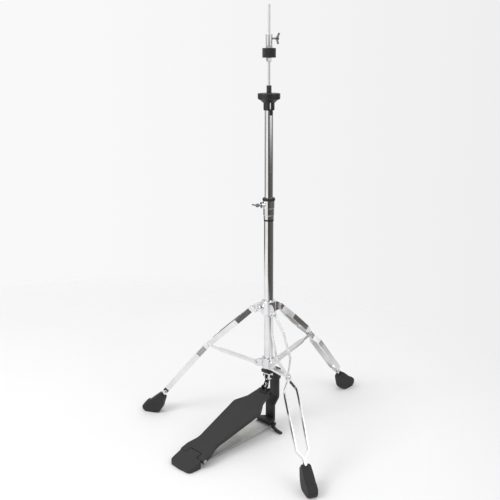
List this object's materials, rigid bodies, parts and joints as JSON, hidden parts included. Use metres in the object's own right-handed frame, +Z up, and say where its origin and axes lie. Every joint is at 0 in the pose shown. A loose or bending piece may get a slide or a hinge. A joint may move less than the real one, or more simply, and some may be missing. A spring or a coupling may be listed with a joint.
{
  "type": "hi-hat stand",
  "caption": "Foot-operated cymbal stand with a double-braced tripod, pedal, chain drive, sprung pull rod, telescoping tube, cymbal seat and clutch.",
  "frame": {"origin": "where the tube's axis meets the floor, on the underside of the frame's rubber pad", "axes": "+Z up along the tube; the pedal points to -Y and one tripod leg to +Y; the pedal's hinge lies along X"},
  "size_m": [0.6734, 0.7123, 1.142],
  "materials": {
    "chrome": "mirror-bright chrome plate on steel",
    "rod_steel": "drawn bright steel",
    "frame_black": "black powder coat on steel",
    "board_black": "fine-textured black powder coat on cast aluminium",
    "plate_steel": "zinc-plated sheet steel",
    "foot_rubber": "moulded rubber",
    "black_nylon": "moulded nylon, satin",
    "seat_steel": "dark oxide steel sleeve",
    "black_felt": "pressed wool felt"
  },
  "bodies": {
    "base": {"lower_tube": "chrome", "height_clamp": "chrome", "clamp_bush": "black_nylon", "clamp_ring": "black_nylon", "collar_keeper_ring": "chrome", "spring_seat_bush": "black_nylon", "frame_socket": "frame_black", "frame_spine": "frame_black", "frame_foot": "frame_black", "frame_pad": "foot_rubber", "base_fasteners": "frame_black", "outrigger": "frame_black", "base_plate": "plate_steel", "heel_plate": "board_black", "heel_pad": "foot_rubber", "heel_hinge_pin": "chrome", "return_spring": "rod_steel"},
    "footboard": {"footboard": "board_black", "toe_clamp": "frame_black", "toe_pin": "chrome", "toe_bolt": "chrome"},
    "pull_rod": {"pull_rod_lower": "rod_steel", "rod_coupler": "rod_steel", "pull_rod_upper": "rod_steel", "rod_clevis": "chrome", "clevis_bolt": "frame_black"},
    "chain": {"chain_links": "frame_black", "chain_pins": "chrome"},
    "upper_tube": {"upper_tube": "chrome", "seat_neck": "black_nylon", "rod_guide_bush": "black_nylon"},
    "cymbal_seat": {"seat_cup": "black_nylon", "seat_sleeve": "seat_steel", "seat_washer": "black_felt"},
    "seat_lock_screw": {"seat_lock_screw": "frame_black"},
    "clamp_wing": {"clamp_wing_screw": "chrome"},
    "clutch": {"clutch_body": "chrome", "clutch_top_nuts": "chrome", "clutch_felts": "black_felt"},
    "clutch_nut": {"clutch_bottom_nut": "chrome"},
    "clutch_wing": {"clutch_wing_screw": "chrome"},
    "lower_collar": {"lower_collar": "chrome", "brace_rivets": "chrome"},
    "upper_collar": {"upper_collar": "chrome"},
    "collar_wing": {"collar_wing_screw": "chrome"},
    "leg_rear": {"leg_rear_strip_a": "chrome", "leg_rear_strip_b": "chrome", "leg_rear_rivets": "chrome", "rubber_foot_rear": "foot_rubber"},
    "brace_rear": {"brace_rear": "chrome"},
    "leg_left": {"leg_left_strip_a": "chrome", "leg_left_strip_b": "chrome", "leg_left_rivets": "chrome", "rubber_foot_left": "foot_rubber"},
    "brace_left": {"brace_left": "chrome"},
    "leg_right": {"leg_right_strip_a": "chrome", "leg_right_strip_b": "chrome", "leg_right_rivets": "chrome", "rubber_foot_right": "foot_rubber"},
    "brace_right": {"brace_right": "chrome"}
  },
  "joints": [
    {"name": "pedal_press", "type": "hinge", "parent": "base", "child": "footboard", "pos_m": [0, -0.28, 0.019], "axis": [1, 0, 0], "range_deg": [-7, 0], "stiffness_Nm_per_rad": 40, "springref_deg": 5.73},
    {"name": "rod_slide", "type": "slide", "parent": "base", "child": "pull_rod", "axis": [0, 0, 1], "range_m": [-0.0309, 0.0005], "deforming": ["return_spring"]},
    {"name": "chain_swing", "type": "hinge", "parent": "pull_rod", "child": "chain", "pos_m": [0, 0, 0.152], "axis": [1, 0, 0], "range_deg": [-0.5, 20.6]},
    {"name": "height_slide", "type": "slide", "parent": "base", "child": "upper_tube", "axis": [0, 0, 1], "range_m": [-0.2, 0]},
    {"name": "seat_tilt", "type": "hinge", "parent": "upper_tube", "child": "cymbal_seat", "pos_m": [0, 0, 0.893], "axis": [0.5, 0.866, 0], "range_deg": [-2.5, 2.5]},
    {"name": "seat_lock_turn", "type": "hinge", "parent": "upper_tube", "child": "seat_lock_screw", "pos_m": [0.01515, -0.00772, 0.878], "axis": [0.891, -0.454, 0], "range_deg": [0, 540]},
    {"name": "clamp_wing_turn", "type": "hinge", "parent": "base", "child": "clamp_wing", "pos_m": [-0.00937, -0.02318, 0.64], "axis": [-0.3746, -0.9272, 0], "range_deg": [0, 540]},
    {"name": "clutch_slide", "type": "slide", "parent": "pull_rod", "child": "clutch", "axis": [0, 0, 1], "range_m": [-0.015, 0.055]},
    {"name": "clutch_nut_turn", "type": "hinge", "parent": "clutch", "child": "clutch_nut", "pos_m": [0, 0, 1.008], "axis": [0, 0, 1], "range_deg": [-540, 540]},
    {"name": "clutch_wing_turn", "type": "hinge", "parent": "clutch", "child": "clutch_wing", "pos_m": [0.00983, 0.00688, 1.06], "axis": [0.8192, 0.5736, 0], "range_deg": [0, 540]},
    {"name": "tripod_swivel", "type": "hinge", "parent": "base", "child": "lower_collar", "pos_m": [0, 0, 0.193], "axis": [0, 0, 1], "range_deg": [-15, 15]},
    {"name": "fold_slide", "type": "slide", "parent": "lower_collar", "child": "upper_collar", "axis": [0, 0, 1], "range_m": [0, 0.15]},
    {"name": "collar_wing_turn", "type": "hinge", "parent": "upper_collar", "child": "collar_wing", "pos_m": [-0.00773, -0.02378, 0.359], "axis": [-0.309, -0.9511, 0], "range_deg": [0, 540]},
    {"name": "leg_rear_fold", "type": "hinge", "parent": "upper_collar", "child": "leg_rear", "pos_m": [0, 0.0438, 0.3489], "axis": [1, 0, 0], "range_deg": [-31.4, 0.2]},
    {"name": "brace_rear_fold", "type": "hinge", "parent": "lower_collar", "child": "brace_rear", "pos_m": [0, 0.036, 0.19], "axis": [1, 0, 0], "range_deg": [-0.2, 52.1]},
    {"name": "leg_left_fold", "type": "hinge", "parent": "upper_collar", "child": "leg_left", "pos_m": [-0.03793, -0.0219, 0.3489], "axis": [-0.5, 0.866, 0], "range_deg": [-31.4, 0.2]},
    {"name": "brace_left_fold", "type": "hinge", "parent": "lower_collar", "child": "brace_left", "pos_m": [-0.03118, -0.018, 0.19], "axis": [-0.5, 0.866, 0], "range_deg": [-0.2, 52.1]},
    {"name": "leg_right_fold", "type": "hinge", "parent": "upper_collar", "child": "leg_right", "pos_m": [0.03793, -0.0219, 0.3489], "axis": [-0.5, -0.866, 0], "range_deg": [-31.4, 0.2]},
    {"name": "brace_right_fold", "type": "hinge", "parent": "lower_collar", "child": "brace_right", "pos_m": [0.03118, -0.018, 0.19], "axis": [-0.5, -0.866, 0], "range_deg": [-0.2, 52.1]}
  ],
  "couplings": [
    {"joint": "rod_slide", "follows": "pedal_press", "m_per_rad": 0.2493},
    {"joint": "chain_swing", "follows": "pedal_press", "ratio": -2.8701},
    {"joint": "leg_rear_fold", "follows": "fold_slide", "rad_per_m": -3.6356},
    {"joint": "brace_rear_fold", "follows": "fold_slide", "rad_per_m": 6.0344},
    {"joint": "leg_left_fold", "follows": "fold_slide", "rad_per_m": -3.6356},
    {"joint": "brace_left_fold", "follows": "fold_slide", "rad_per_m": 6.0344},
    {"joint": "leg_right_fold", "follows": "fold_slide", "rad_per_m": -3.6356},
    {"joint": "brace_right_fold", "follows": "fold_slide", "rad_per_m": 6.0344}
  ]
}
